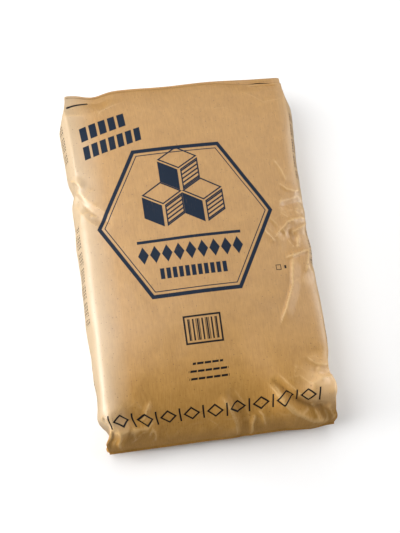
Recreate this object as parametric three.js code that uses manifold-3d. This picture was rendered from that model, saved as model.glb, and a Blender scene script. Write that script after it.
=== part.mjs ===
// A full 50 lb kraft paper bag of sugar, lying on its back with the printed front up.
// Millimetres. X runs across the bag, +Y towards its top end, +Z up. The origin is on the floor,
// under the middle of the bag.
import * as THREE from "three";
import { mergeVertices } from "three/addons/utils/BufferGeometryUtils.js";
import Module from "manifold-3d";

// The flat paper tube: two panels joined by two gussets
const PANEL = 381;
const GUSSET = 127;
// The filled bag as it lies, from one closed edge to the other
const LENGTH = 606;
const FRONT_CREASE_HEIGHT = 112;
const BACK_CREASE_HEIGHT = 15;
const CROWN = 17;
const CROWN_POWER = 2.4;
// The back would sag this far below its creases, so the floor presses its middle flat
const BACK_SAG = 18.5;
const BACK_POWER = 9;
const WAIST = 5;
const SIDE_BULGE = 12.5;
const SHOULDER_BULGE = 3;
const CRISP_CORNER = 1.5;
const SOFT_CORNER = 13;
const FOOT_CORNER = { left: 3, right: 2 };

// The top end is closed high, with a flat glued lip that stands out past the shoulder.
// The lip's right end stands out further and lies lower.
const LIP_HEIGHT = 103;
const LIP_THICKNESS = 5;
const LIP_HALF_WIDTH = 189;
const LIP_BULGE = 1;
const LIP_REACH = { left: 4, right: 12 };
const LIP_DROP = { left: 1.5, right: 6.5 };
const LIP_CHANGE = [50, 140];
const UNDER_LIP = 94;
const TOP_END_SPAN = 84;
const TOP_END_POWER = 1.7;
const TOP_EDGE_DIP = { across: -144, depth: 10, width: 26 };
const TOP_EDGE_WAVE = 1.5;
// The top edge lies lower at its left end and over its right half, and its corners are rounded
const TOP_EDGE_DROP = { left: 4, leftSpan: 24, right: 2.6, rightChange: [-80, 0] };
const TOP_CORNER = { round: 3, span: 9 };
// The left shoulder stands out a little just under the lip
const LEFT_SHOULDER = { out: 3, fromTop: 26, width: 20 };

// The bottom end is closed low. The middle of the front rolls down to it early, and its two corners
// stay level for longer.
const FOOT_HEIGHT = 25;
const FOOT_THICKNESS = 9;
const FOOT_ROLL_SPAN = { left: 56, middle: 122, right: 44 };
const FOOT_CROWN_SPAN = { middle: 240, right: 50 };
const CORNER_CHANGE = { left: [-168, -110], right: [30, 125] };
const FOOT_LIFT_SPAN = 62;
const FOOT_PINCH = { left: { depth: 7.5, fromFoot: 21 }, right: { depth: 3, fromFoot: 28 }, reach: 22 };
// The right side is narrower towards the foot
const RIGHT_NARROW = { depth: 5, change: [60, 115] };
// The foot's left ear is shut and rounded, and the right one stands out
const LEFT_EAR = { round: 5, roundSpan: 8, tab: 2, tabFromFoot: 8, tabWidth: 4 };
const RIGHT_EAR = { out: 7, span: 13 };

// The gussets fold inwards at both ends
const TOP_FOLD = { depth: 44, span: 62 };
const FOOT_FOLD = { left: { depth: 10, span: 38 }, right: { depth: 44, span: 46 } };

// Where each thing grows to its full size, as distances in from an end of the bag
const GROWTH = {
  creaseTop: [0, 90],
  crownTop: 120,
  waistTop: [0, 190],
  waistFoot: [0, 150],
  shoulderIn: [0, 46],
  shoulderOut: [60, 210],
  sideTop: [0, 34],
  sideFoot: [24, 50],
  softTopLeft: [140, 210],
  softTopRight: [45, 155],
  softFoot: [8, 68],
  unevenTop: [10, 60],
  unevenFoot: [4, 34],
  edgeShift: [0, 45],
};

// Where a side wall stands out further than the rest, or less far (negative)
const SIDE_BUMPS = {
  left: [
    { along: 280, out: 3, width: 22 },
    { along: 130, out: -6.5, width: 16 },
    { along: -225, out: -4, width: 35 },
  ],
  right: [
    { along: 268, out: -3, width: 20 },
    { along: -60, out: -7, width: 110 },
    { along: -165, out: -6, width: 45 },
    { along: -222, out: -20, width: 36 },
  ],
};

// Low, broad unevenness of the filled walls, as heights
const BROAD_WAVE = 1.5;
const FINE_WAVE = 0.8;

// Folds in the paper, as lines across (from the front's middle) and along (from the bag's middle).
// A positive height is a ridge and a negative one a valley. left and right are the half widths of
// the fold to the left and to the right of the line's own direction.
const FOLDS = [
  { line: [[78, -226], [102, -251], [120, -269], [144, -282], [190, -291]], height: -10, left: 10, right: 10 },
  { line: [[84, -236], [106, -267], [126, -283], [148, -295], [176, -303]], height: 7, left: 9, right: 22 },
  { line: [[-200, -280], [-173, -281], [-152, -280], [-130, -278], [-106, -268]], height: 5, left: 10, right: 22 },
  { line: [[-114, -240], [-124, -255], [-128, -264], [-139, -271]], height: 3.6, left: 8, right: 6 },
  { line: [[158, -20], [149, -59], [144, -87], [127, -124], [108, -158]], height: 3.8, left: 16, right: 4.5 },
  { line: [[124, -8], [140, 8], [156, 22], [182, 30], [210, 26]], height: 4.2, left: 7, right: 16 },
  { line: [[140, 50], [168, 56], [190, 62], [214, 60]], height: -3.6, left: 8, right: 12 },
  { line: [[-228, 120], [-200, 106], [-166, 72], [-140, 50]], height: -4.5, left: 12, right: 16 },
  { line: [[-2, -246], [12, -268], [21, -286], [26, -308]], height: 5.5, left: 11, right: 38 },
  { line: [[8, -242], [24, -266], [33, -284], [39, -308]], height: -3, left: 12, right: 9 },
];
// A fold fades over this share of its line at each end, and its sides rise by this power
const FOLD_FADE = 0.25;
const FOLD_POWER = 1.15;
// Neither side of a fold is narrower than the spacing of the mesh can hold
const NARROWEST_SIDE = 12;
// Folds are made on the front and on this share of each gusset
const GUSSET_SHARE = 0.45;

// Mesh density: points across a panel and a gusset, how many of them the solid keeps, and the
// distances of the rings from each end
const PANEL_STEPS = 120;
const GUSSET_STEPS = 40;
const KEEP_EVERY = 4;
const RING_SPACING = 13;
const TOP_RINGS = [1.5, 6, 13, 21, 30, 40, 51, 63, 76, 90];
const FOOT_RINGS = [0, 3, 7, 12, 17, 23, 29, 35, 42, 50, 59, 69, 80, 92];

const HALF_PANEL = PANEL / 2;
const HALF_LENGTH = LENGTH / 2;
const STEP = PANEL / PANEL_STEPS;
const AROUND = (2 * (PANEL_STEPS + GUSSET_STEPS)) / KEEP_EVERY;

const { clamp, lerp, smoothstep } = THREE.MathUtils;
const ramp = (value, [start, end]) => smoothstep(value, start, end);
const bell = (distance, width) => Math.exp(-((distance / width) ** 2));

// A rounded rise from 0 to 1 with a level finish: a quarter of an ellipse when the power is 2
const roll = (t, power = 2) => (1 - (1 - clamp(t, 0, 1)) ** power) ** (1 / power);

// How far the lip stands out past the shoulder, and how far it lies under it, across the bag
const lipReach = (across) => lerp(LIP_REACH.left, LIP_REACH.right, ramp(across, LIP_CHANGE));
const lipDrop = (across) => lerp(LIP_DROP.left, LIP_DROP.right, ramp(across, LIP_CHANGE));

// The wavy line of the top edge, with a dip beside the left corner
function topEdge(across) {
  const dip = TOP_EDGE_DIP.depth * bell(across - TOP_EDGE_DIP.across, TOP_EDGE_DIP.width);
  const leftDrop = TOP_EDGE_DROP.left * bell(across + HALF_PANEL, TOP_EDGE_DROP.leftSpan);
  const rightDrop = TOP_EDGE_DROP.right * ramp(across, TOP_EDGE_DROP.rightChange);
  const corner = TOP_CORNER.round * (1 - roll((HALF_PANEL - Math.abs(across)) / TOP_CORNER.span));
  return TOP_EDGE_WAVE * Math.sin(across / 47) - dip - leftDrop - rightDrop - corner;
}

function unevenness(across, along) {
  const broad = Math.sin(across / 61 + 0.7) * Math.cos(along / 83 - 0.4);
  const fine = Math.sin(across / 29 - along / 41 + 1.9) * Math.cos(along / 37 + across / 71);
  return BROAD_WAVE * broad + FINE_WAVE * fine;
}

// How far a side wall stands out, with its bumps
function sideBulge(bumps, fromTop) {
  const along = HALF_LENGTH - fromTop;
  const shoulder = ramp(fromTop, GROWTH.shoulderIn) * (1 - ramp(fromTop, GROWTH.shoulderOut));
  let out = SIDE_BULGE + SHOULDER_BULGE * shoulder;
  for (const bump of bumps) out += bump.out * bell(along - bump.along, bump.width);
  return out * ramp(fromTop, GROWTH.sideTop) * ramp(LENGTH - fromTop, GROWTH.sideFoot);
}

// How far a gusset folds inwards near an end of the bag
const foldIn = (fromEnd, { depth, span }) => depth * (1 - ramp(fromEnd, [0, span]));

function pinchIn(fromFoot, pinch) {
  return pinch.depth * (1 - ramp(Math.abs(fromFoot - pinch.fromFoot), [0, FOOT_PINCH.reach]));
}

// How far the left half of the front reaches, from its middle to its crease
function leftHalf(fromTop, fromFoot) {
  const shoulder = LEFT_SHOULDER.out * bell(fromTop - LEFT_SHOULDER.fromTop, LEFT_SHOULDER.width);
  const tab = LEFT_EAR.tab * bell(fromFoot - LEFT_EAR.tabFromFoot, LEFT_EAR.tabWidth);
  const round = LEFT_EAR.round * (1 - roll(fromFoot / LEFT_EAR.roundSpan));
  return HALF_PANEL + shoulder + tab - round - pinchIn(fromFoot, FOOT_PINCH.left);
}

// The same for the right half
function rightHalf(fromFoot) {
  const narrow = RIGHT_NARROW.depth * (1 - ramp(fromFoot, RIGHT_NARROW.change));
  const ear = foldIn(fromFoot, { depth: RIGHT_EAR.out, span: RIGHT_EAR.span });
  return HALF_PANEL + ear - narrow - pinchIn(fromFoot, FOOT_PINCH.right);
}

// Over what length the front rolls down to the foot, and its crown ends, at a place across it
function footSpans(across) {
  const leftShare = 1 - ramp(across, CORNER_CHANGE.left);
  const rightShare = ramp(across, CORNER_CHANGE.right);
  const fromLeft = lerp(FOOT_ROLL_SPAN.middle, FOOT_ROLL_SPAN.left, leftShare);
  return {
    roll: lerp(fromLeft, FOOT_ROLL_SPAN.right, rightShare),
    crown: lerp(FOOT_CROWN_SPAN.middle, FOOT_CROWN_SPAN.right, rightShare),
  };
}

// Heights and widths of the section at a distance from the top edge. The heights of the front's
// crease and crown depend on the distance across it too.
function sectionShape(fromTop) {
  const fromFoot = LENGTH - fromTop;
  const body = ramp(fromTop, [0, TOP_END_SPAN]) * ramp(fromFoot, [0, FOOT_LIFT_SPAN]);
  const backTop = UNDER_LIP * (1 - roll(fromTop / TOP_END_SPAN, TOP_END_POWER));
  const backFoot = (FOOT_HEIGHT - FOOT_THICKNESS) * (1 - ramp(fromFoot, [0, FOOT_LIFT_SPAN]));
  const creaseTop = lerp(LIP_HEIGHT, FRONT_CREASE_HEIGHT, ramp(fromTop, GROWTH.creaseTop));
  const crownTop = CROWN * roll(fromTop / GROWTH.crownTop);
  const waist = WAIST * ramp(fromTop, GROWTH.waistTop) * ramp(fromFoot, GROWTH.waistFoot);
  const softFoot = ramp(fromFoot, GROWTH.softFoot);
  const softLeft = lerp(CRISP_CORNER, SOFT_CORNER, ramp(fromTop, GROWTH.softTopLeft));
  const softRight = lerp(CRISP_CORNER, SOFT_CORNER, ramp(fromTop, GROWTH.softTopRight));
  return {
    halfLeft: leftHalf(fromTop, fromFoot) - waist,
    halfRight: rightHalf(fromFoot) - waist,
    crease: (across) => lerp(FOOT_HEIGHT, creaseTop, roll(fromFoot / footSpans(across).roll)),
    crown: (across) => crownTop * ramp(fromFoot, [0, footSpans(across).crown]),
    backCrease: BACK_CREASE_HEIGHT * body + backTop + backFoot,
    sag: BACK_SAG * body,
    bulgeLeft: sideBulge(SIDE_BUMPS.left, fromTop),
    bulgeRight: sideBulge(SIDE_BUMPS.right, fromTop),
    foldLeft: Math.max(foldIn(fromTop, TOP_FOLD), foldIn(fromFoot, FOOT_FOLD.left)),
    foldRight: Math.max(foldIn(fromTop, TOP_FOLD), foldIn(fromFoot, FOOT_FOLD.right)),
    softLeft: lerp(FOOT_CORNER.left, softLeft, softFoot),
    softRight: lerp(FOOT_CORNER.right, softRight, softFoot),
  };
}

// The section of the flat lip
const LIP_SHAPE = {
  halfLeft: LIP_HALF_WIDTH,
  halfRight: LIP_HALF_WIDTH,
  crease: () => LIP_HEIGHT,
  crown: () => 0,
  backCrease: LIP_HEIGHT - LIP_THICKNESS,
  sag: 0,
  bulgeLeft: LIP_BULGE,
  bulgeRight: LIP_BULGE,
  foldLeft: 0,
  foldRight: 0,
};

// A section as points round the tube: the front from left to right, the right gusset, the back and
// the left gusset. across is the distance over the paper from the middle of the front.
function sectionPoints(shape) {
  const points = [];
  const halfWidth = (sign) => (sign < 0 ? shape.halfLeft : shape.halfRight);
  const gussetPoint = (t, sign) => {
    const bulge = sign < 0 ? shape.bulgeLeft : shape.bulgeRight;
    const fold = sign < 0 ? shape.foldLeft : shape.foldRight;
    const out = bulge * 4 * t * (1 - t) - fold * (1 - Math.abs(2 * t - 1));
    const z = lerp(shape.crease(sign * HALF_PANEL), shape.backCrease, t);
    return { x: sign * (halfWidth(sign) + out), z, across: sign * (HALF_PANEL + GUSSET * t) };
  };
  for (let i = 0; i < PANEL_STEPS; i++) {
    const t = (2 * i) / PANEL_STEPS - 1;
    const across = HALF_PANEL * t;
    const z = shape.crease(across) + shape.crown(across) * (1 - Math.abs(t) ** CROWN_POWER);
    points.push({ x: halfWidth(t) * t, z, across });
  }
  for (let i = 0; i < GUSSET_STEPS; i++) {
    points.push(gussetPoint(i / GUSSET_STEPS, 1));
  }
  for (let i = 0; i < PANEL_STEPS; i++) {
    const t = 1 - (2 * i) / PANEL_STEPS;
    const z = shape.backCrease - shape.sag * (1 - Math.abs(t) ** BACK_POWER);
    points.push({ x: halfWidth(t) * t, z, across: null });
  }
  for (let i = 0; i < GUSSET_STEPS; i++) {
    points.push(gussetPoint(1 - i / GUSSET_STEPS, -1));
  }
  return points;
}

// Rounds the corners of a closed section by a weighted mean of each point's neighbours
function soften(points, shape) {
  return points.map((point, i) => {
    const spread = lerp(shape.softLeft, shape.softRight, ramp(point.x, [-HALF_PANEL, HALF_PANEL])) / STEP;
    const reach = Math.ceil(spread * 2.5);
    let [x, z, total] = [0, 0, 0];
    for (let k = -reach; k <= reach; k++) {
      const weight = Math.exp(-((k / spread) ** 2) / 2);
      const near = points[(i + k + points.length) % points.length];
      x += near.x * weight;
      z += near.z * weight;
      total += weight;
    }
    return { x: x / total, z: z / total, across: point.across };
  });
}

// How near a place on the paper is to a line of several stretches, its share of the way along, and
// whether it lies to the left of the line's direction
function nearestOnLine(line, across, along) {
  let best = { distance: Infinity, share: 0, onLeft: true };
  const stretches = line.length - 1;
  for (let i = 0; i < stretches; i++) {
    const [ax, ay] = line[i];
    const [dx, dy] = [line[i + 1][0] - ax, line[i + 1][1] - ay];
    const t = clamp(((across - ax) * dx + (along - ay) * dy) / (dx * dx + dy * dy), 0, 1);
    const distance = Math.hypot(across - ax - t * dx, along - ay - t * dy);
    const onLeft = dx * (along - ay) >= dy * (across - ax);
    if (distance < best.distance) best = { distance, share: (i + t) / stretches, onLeft };
  }
  return best;
}

// Height of the folds over the smooth wall at a place on the paper
function foldHeight(across, along) {
  let height = 0;
  for (const fold of FOLDS) {
    const { distance, share, onLeft } = nearestOnLine(fold.line, across, along);
    const fade = ramp(share, [0, FOLD_FADE]) * ramp(1 - share, [0, FOLD_FADE]);
    const reach = Math.max(onLeft ? fold.left : fold.right, NARROWEST_SIDE);
    height += fold.height * fade * Math.max(0, 1 - distance / reach) ** FOLD_POWER;
  }
  return height;
}

// Distances of the rings from the top edge: close together at the ends
function ringPlaces() {
  const first = TOP_RINGS.at(-1);
  const last = LENGTH - FOOT_RINGS.at(-1);
  const count = Math.round((last - first) / RING_SPACING);
  const middle = Array.from({ length: count - 1 }, (_, i) => lerp(first, last, (i + 1) / count));
  return [...TOP_RINGS, ...middle, ...FOOT_RINGS.map((place) => LENGTH - place).reverse()];
}

// The points of a section that the solid keeps, from the middle of the front onwards
function keptPoints(section) {
  const turned = [...section.slice(PANEL_STEPS / 2), ...section.slice(0, PANEL_STEPS / 2)];
  return turned.filter((_, i) => i % KEEP_EVERY === 0);
}

// One ring of the filled body, before its folds
function bodyRing(fromTop) {
  const shape = sectionShape(fromTop);
  return keptPoints(soften(sectionPoints(shape), shape)).map(({ x, z, across }) => {
    const edge = clamp(x, -HALF_PANEL, HALF_PANEL);
    const shift = (topEdge(edge) - lipReach(edge)) * (1 - ramp(fromTop, GROWTH.edgeShift));
    return { place: new THREE.Vector3(x, HALF_LENGTH - fromTop + shift, z), across, fromTop };
  });
}

// How far the wall stands off the smooth form at a place on the paper
function wallLift({ across, fromTop }) {
  if (across === null || Math.abs(across) > HALF_PANEL + GUSSET * GUSSET_SHARE) return 0;
  const along = HALF_LENGTH - fromTop;
  const filled = ramp(fromTop, GROWTH.unevenTop) * ramp(LENGTH - fromTop, GROWTH.unevenFoot);
  return unevenness(across, along) * filled + foldHeight(across, along);
}

// The rings of the body with their folds, each point moved square to the wall around it
function foldedRings(rings) {
  return rings.map((ring, r) =>
    ring.map((point, i) => {
      const higher = rings[Math.max(0, r - 1)][i].place;
      const lower = rings[Math.min(rings.length - 1, r + 1)][i].place;
      const before = ring[(i + AROUND - 1) % AROUND].place;
      const after = ring[(i + 1) % AROUND].place;
      const square = after.clone().sub(before).cross(higher.clone().sub(lower)).normalize();
      return point.place.clone().addScaledVector(square, wallLift(point));
    }),
  );
}

// A ring of the flat lip, at its root or at its outer edge
function lipRing(atEdge) {
  return keptPoints(sectionPoints(LIP_SHAPE)).map(({ x, z }) => {
    const across = clamp(x, -HALF_PANEL, HALF_PANEL);
    const y = HALF_LENGTH + topEdge(across) - (atEdge ? 0 : lipReach(across));
    return new THREE.Vector3(x, y, z - lipDrop(across));
  });
}

// The rings as one closed skin: a cylinder with each of its points moved to its place on the bag
function skinOf(rings) {
  const skin = new THREE.CylinderGeometry(1, 1, 1, AROUND, rings.length - 1);
  const position = skin.attributes.position;
  for (let i = 0; i < position.count; i++) {
    const from = new THREE.Vector3().fromBufferAttribute(position, i);
    const ring = rings[Math.round((0.5 - from.y) * (rings.length - 1))];
    const onAxis = Math.hypot(from.x, from.z) < 0.5;
    const turn = Math.round((Math.atan2(from.x, from.z) / (2 * Math.PI)) * AROUND);
    const middle = ring[0].clone().lerp(ring[AROUND / 2], 0.5);
    const place = onAxis ? middle : ring[(turn + AROUND) % AROUND];
    position.setXYZ(i, place.x, place.y, place.z);
  }
  return skin;
}

const wasm = await Module();
wasm.setup();

function toSolid(geometry) {
  const bare = geometry.clone();
  bare.deleteAttribute("normal");
  bare.deleteAttribute("uv");
  const merged = mergeVertices(bare, 1e-3);
  return new wasm.Manifold(
    new wasm.Mesh({
      numProp: 3,
      vertProperties: merged.attributes.position.array,
      triVerts: new Uint32Array(merged.index.array),
    }),
  );
}

function toGeometry(solid) {
  const mesh = solid.getMesh();
  const geometry = new THREE.BufferGeometry();
  geometry.setAttribute("position", new THREE.BufferAttribute(mesh.vertProperties, 3));
  geometry.setIndex(new THREE.BufferAttribute(mesh.triVerts, 1));
  geometry.computeVertexNormals();
  return geometry;
}

// The floor presses the sagging back flat, so everything under height 0 is cut away
function restOnFloor(solid) {
  const slab = new THREE.BoxGeometry(PANEL * 2, LENGTH * 2, PANEL).translate(0, 0, -PANEL / 2);
  return solid.subtract(toSolid(slab));
}

function makeBag() {
  const body = foldedRings(ringPlaces().map((fromTop) => bodyRing(fromTop)));
  const rings = [lipRing(true), lipRing(false), ...body];
  const geometry = toGeometry(restOnFloor(toSolid(skinOf(rings))));
  geometry.computeBoundingBox();
  const middle = geometry.boundingBox.getCenter(new THREE.Vector3());
  geometry.translate(-middle.x, -middle.y, 0);
  const kraft = new THREE.MeshStandardMaterial({ color: 0xc69f6e, roughness: 0.78, metalness: 0 });
  const bag = new THREE.Mesh(geometry, kraft);
  bag.name = "bag";
  return bag;
}

const sugarBag = new THREE.Group();
sugarBag.add(makeBag());

export default sugarBag;
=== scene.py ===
# A full 50 lb kraft paper bag of sugar, lying on its back with the printed front up.
# Metres. X runs across the bag, +Y towards its top end, +Z up, as in the frame.
import math
import random

import bpy
import numpy as np
from mathutils import Matrix, Vector
from mathutils.geometry import delaunay_2d_cdt


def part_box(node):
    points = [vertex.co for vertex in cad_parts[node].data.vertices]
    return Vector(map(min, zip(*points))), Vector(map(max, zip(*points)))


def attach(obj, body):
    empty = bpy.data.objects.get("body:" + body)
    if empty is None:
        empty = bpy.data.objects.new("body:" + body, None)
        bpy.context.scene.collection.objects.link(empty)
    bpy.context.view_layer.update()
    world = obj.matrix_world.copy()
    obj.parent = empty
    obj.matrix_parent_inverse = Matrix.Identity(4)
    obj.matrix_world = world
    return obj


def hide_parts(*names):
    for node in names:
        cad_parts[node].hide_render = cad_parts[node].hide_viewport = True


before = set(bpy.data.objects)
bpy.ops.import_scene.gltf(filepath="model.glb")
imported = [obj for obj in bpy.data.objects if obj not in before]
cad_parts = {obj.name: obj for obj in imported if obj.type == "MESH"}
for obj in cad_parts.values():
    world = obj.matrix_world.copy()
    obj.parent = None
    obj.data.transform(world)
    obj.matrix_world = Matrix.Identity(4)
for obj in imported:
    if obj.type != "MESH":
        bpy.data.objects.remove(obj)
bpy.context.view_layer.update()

# The flat paper tube: two panels joined by two gussets
PANEL = 0.381
GUSSET = 0.127
HALF_PANEL = PANEL / 2
BACK_EDGE = HALF_PANEL + GUSSET
PERIMETER = 2 * (PANEL + GUSSET)
# The filled bag as it lies, from one closed edge to the other
LENGTH = 0.606
HALF_LENGTH = LENGTH / 2
FRONT_CREASE_HEIGHT = 0.112
BACK_CREASE_HEIGHT = 0.015
CROWN = 0.017
CROWN_POWER = 2.4
BACK_SAG = 0.0185
BACK_POWER = 9
WAIST = 0.005
SIDE_BULGE = 0.0125
SHOULDER_BULGE = 0.003
CRISP_CORNER = 0.0015
SOFT_CORNER = 0.013
FOOT_CORNER_LEFT = 0.0030
FOOT_CORNER_RIGHT = 0.0020

# The top end is closed high, with a flat glued lip that stands out past the shoulder
LIP_HEIGHT = 0.103
LIP_THICKNESS = 0.005
LIP_HALF_WIDTH = 0.189
LIP_BULGE = 0.0010
LIP_REACH_LEFT = 0.004
LIP_REACH_RIGHT = 0.012
LIP_DROP_LEFT = 0.0015
LIP_DROP_RIGHT = 0.0065
LIP_CHANGE = (0.050, 0.140)
UNDER_LIP = 0.094
TOP_END_SPAN = 0.084
TOP_END_POWER = 1.7
TOP_EDGE_DIP = 0.010
TOP_EDGE_DIP_PLACE = -0.144
TOP_EDGE_DIP_WIDTH = 0.026
TOP_EDGE_WAVE = 0.0015
TOP_EDGE_WAVE_SPAN = 0.047
# The edge lies lower at its left end and over its right half, and both its corners are rounded
TOP_EDGE_LEFT_DROP = 0.0040
TOP_EDGE_LEFT_SPAN = 0.024
TOP_EDGE_RIGHT_DROP = 0.0026
TOP_EDGE_RIGHT_CHANGE = (-0.080, 0.000)
TOP_CORNER_ROUND = 0.0030
TOP_CORNER_SPAN = 0.009
# The left shoulder stands out a little just under the lip
LEFT_SHOULDER_OUT = 0.0030
LEFT_SHOULDER_PLACE = 0.026
LEFT_SHOULDER_WIDTH = 0.020

# A narrow strip of the back panel is folded over the lip and glued down on this share of its front.
# Near its right end the strip has come loose and stands up in a short gap.
STRIP_SHARE = 0.93
STRIP_PAPER = 0.0005
STRIP_LIFT = 0.0075
STRIP_LIFT_PLACE = 0.150
STRIP_LIFT_WIDTH = 0.024
STRIP_COLUMNS = 190
# The strip's rows, from its free edge on the front, over the lip's edge and behind it. Each has its
# share of the width inwards, of half the thickness upwards, and of the lift.
STRIP_ROWS = [
    (1, 1, 1), (0.6, 1, 0.3), (0.25, 1, 0), (0.05, 0.92, 0), (-0.07, 0.5, 0),
    (-0.10, 0, 0), (-0.07, -0.5, 0), (0.05, -0.92, 0), (0.3, -1, 0),
]
# Its place on the paper lies past the printed part, so that no print falls on it
STRIP_ALONG = 1.0
STRIP_ROW_SPACING = 0.002
# How far the painted shadow shows in the gap under the strip's lifted edge, and how softly it ends
GAP_SHADE_SHOWS = 0.0016
GAP_SHADE_EDGE = 0.0010

# The bottom end is closed low, and the front rolls down to it
FOOT_HEIGHT = 0.025
FOOT_THICKNESS = 0.009
# Its middle rolls down early and its two corners stay level for longer
FOOT_ROLL_SPAN = 0.122
FOOT_ROLL_SPAN_LEFT = 0.056
FOOT_ROLL_SPAN_RIGHT = 0.044
FOOT_CROWN_SPAN = 0.240
FOOT_CROWN_SPAN_RIGHT = 0.050
LEFT_CORNER = (-0.168, -0.110)
RIGHT_CORNER = (0.030, 0.125)
FOOT_LIFT_SPAN = 0.062
FOOT_PINCH_PLACE_LEFT = 0.021
FOOT_PINCH_PLACE_RIGHT = 0.028
FOOT_PINCH_REACH = 0.022
FOOT_PINCH_LEFT = 0.0075
FOOT_PINCH_RIGHT = 0.003
# The right side is narrower towards the foot
RIGHT_NARROW = 0.005
RIGHT_NARROW_CHANGE = (0.060, 0.115)

# The left ear of the foot is shut and rounded, and the right one stands out
LEFT_EAR_ROUND = 0.005
LEFT_EAR_ROUND_SPAN = 0.008
LEFT_EAR_TAB = 0.0020
LEFT_EAR_TAB_PLACE = 0.008
LEFT_EAR_TAB_WIDTH = 0.004
RIGHT_EAR_OUT = 0.0070
RIGHT_EAR_SPAN = 0.013

# The gussets fold inwards at both ends: how deep, and over what length
TOP_FOLD = (0.044, 0.062)
FOOT_FOLD_LEFT = (0.010, 0.038)
FOOT_FOLD_RIGHT = (0.044, 0.046)

# Where each thing grows to its full size, as distances in from the top end or from the foot
CREASE_TOP = (0, 0.090)
CROWN_TOP = 0.120
WAIST_TOP = (0, 0.190)
WAIST_FOOT = (0, 0.150)
SHOULDER_IN = (0, 0.046)
SHOULDER_OUT = (0.060, 0.210)
SIDE_TOP = (0, 0.034)
SIDE_FOOT = (0.024, 0.050)
SOFT_TOP_LEFT = (0.140, 0.210)
SOFT_TOP_RIGHT = (0.045, 0.155)
SOFT_FOOT = (0.008, 0.068)
UNEVEN_TOP = (0.010, 0.060)
UNEVEN_FOOT = (0.004, 0.034)
EDGE_SHIFT = (0, 0.045)

# Where a side wall stands out further than the rest, or less far: place along, height, half width
LEFT_BUMPS = [(0.280, 0.0030, 0.022), (0.130, -0.0065, 0.016), (-0.225, -0.004, 0.035)]
RIGHT_BUMPS = [
    (0.268, -0.003, 0.020), (-0.060, -0.007, 0.110),
    (-0.165, -0.006, 0.045), (-0.222, -0.020, 0.036),
]

# Low, broad unevenness of the filled walls: heights, and how fast the waves turn across and along
BROAD_WAVE = 0.0015
BROAD_TURN = (0.061, 0.083)
FINE_WAVE = 0.0008
FINE_TURN = (0.029, 0.041)
FINE_CROSS_TURN = (0.071, 0.037)
WAVE_START = (0.7, 0.4, 1.9)

# How sharply a crease has to bend before it shows its full light wear and painted highlight, as a rise
# between neighbouring points
WEAR_AND_HIGHLIGHT_BEND = 0.0008
# How the bottom edge rounds off: how far out each row is, and its share of the edge's thickness
FOOT_EDGE = [(0.0034, 0), (0.0030, 0.30), (0.0008, 0.45)]
# The paper's grid: columns round the bag from the middle of the back, and the space between rows
COLUMNS = 508
ROW_SPACING = 0.0021
# Rows lie closer near both ends: from, to and spacing, as distances from that end
CLOSE_FOOT_ROWS = (0, 0.015, 0.0015)
CLOSE_TOP_ROWS = (0.001, 0.014, 0.0013)
# Creases are rounded by a mean that reaches this many times their softness
ROUNDED_REACH = 2.5
# Points of the seam and the ends that lie this close are one
JOINED_WITHIN = 1e-6
# Keeps a direction with no length from a division by 0
LEAST_LENGTH = 1e-12
# Past this place round the bag, on the lower part of the gussets and on the back, triangles are
# taken out until this share of them all is left
THINNED_FROM = 0.262
KEPT_TRIANGLES = 0.62


def ramp(value, start, end):
    t = np.clip((value - start) / (end - start), 0, 1)
    return t * t * (3 - 2 * t)


def bell(distance, width):
    return np.exp(-((distance / width) ** 2))


def lerp(a, b, t):
    return a + (b - a) * t


def roll(t, power=2.0):
    """A rounded rise from 0 to 1 with a level finish: a quarter of an ellipse when the power is 2."""
    return (1 - (1 - np.clip(t, 0, 1)) ** power) ** (1 / power)


def lip_reach(across):
    return lerp(LIP_REACH_LEFT, LIP_REACH_RIGHT, ramp(across, *LIP_CHANGE))


def lip_drop(across):
    return lerp(LIP_DROP_LEFT, LIP_DROP_RIGHT, ramp(across, *LIP_CHANGE))


def top_edge(across):
    """The wavy line of the top edge, with a dip beside the left corner."""
    dip = TOP_EDGE_DIP * bell(across - TOP_EDGE_DIP_PLACE, TOP_EDGE_DIP_WIDTH)
    left_drop = TOP_EDGE_LEFT_DROP * bell(across + HALF_PANEL, TOP_EDGE_LEFT_SPAN)
    right_drop = TOP_EDGE_RIGHT_DROP * ramp(across, *TOP_EDGE_RIGHT_CHANGE)
    corner = TOP_CORNER_ROUND * (1 - roll((HALF_PANEL - np.abs(across)) / TOP_CORNER_SPAN))
    return TOP_EDGE_WAVE * np.sin(across / TOP_EDGE_WAVE_SPAN) - dip - left_drop - right_drop - corner


def side_bulge(bumps, from_top):
    """How far a side wall stands out, with its bumps."""
    along = HALF_LENGTH - from_top
    shoulder = ramp(from_top, *SHOULDER_IN) * (1 - ramp(from_top, *SHOULDER_OUT))
    out = SIDE_BULGE + SHOULDER_BULGE * shoulder
    for place, height, width in bumps:
        out = out + height * bell(along - place, width)
    return out * ramp(from_top, *SIDE_TOP) * ramp(LENGTH - from_top, *SIDE_FOOT)


def fold_in(from_end, fold):
    """How far a gusset folds inwards near an end of the bag."""
    depth, span = fold
    return depth * (1 - ramp(from_end, 0, span))


def left_half(top, foot):
    """How far the left half of the front reaches, from its middle to its crease."""
    shoulder = LEFT_SHOULDER_OUT * bell(top - LEFT_SHOULDER_PLACE, LEFT_SHOULDER_WIDTH)
    pinch = FOOT_PINCH_LEFT * foot_pinch(foot - FOOT_PINCH_PLACE_LEFT)
    return HALF_PANEL + shoulder - pinch + left_ear(foot)


def right_half(foot):
    """How far the right half of the front reaches."""
    narrow = RIGHT_NARROW * (1 - ramp(foot, *RIGHT_NARROW_CHANGE))
    pinch = FOOT_PINCH_RIGHT * foot_pinch(foot - FOOT_PINCH_PLACE_RIGHT)
    return HALF_PANEL - narrow - pinch + right_ear(foot)


def foot_pinch(distance):
    """1 in the middle of the notch beside an ear of the foot, and 0 away from it."""
    return 1 - ramp(np.abs(distance), 0, FOOT_PINCH_REACH)


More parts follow.
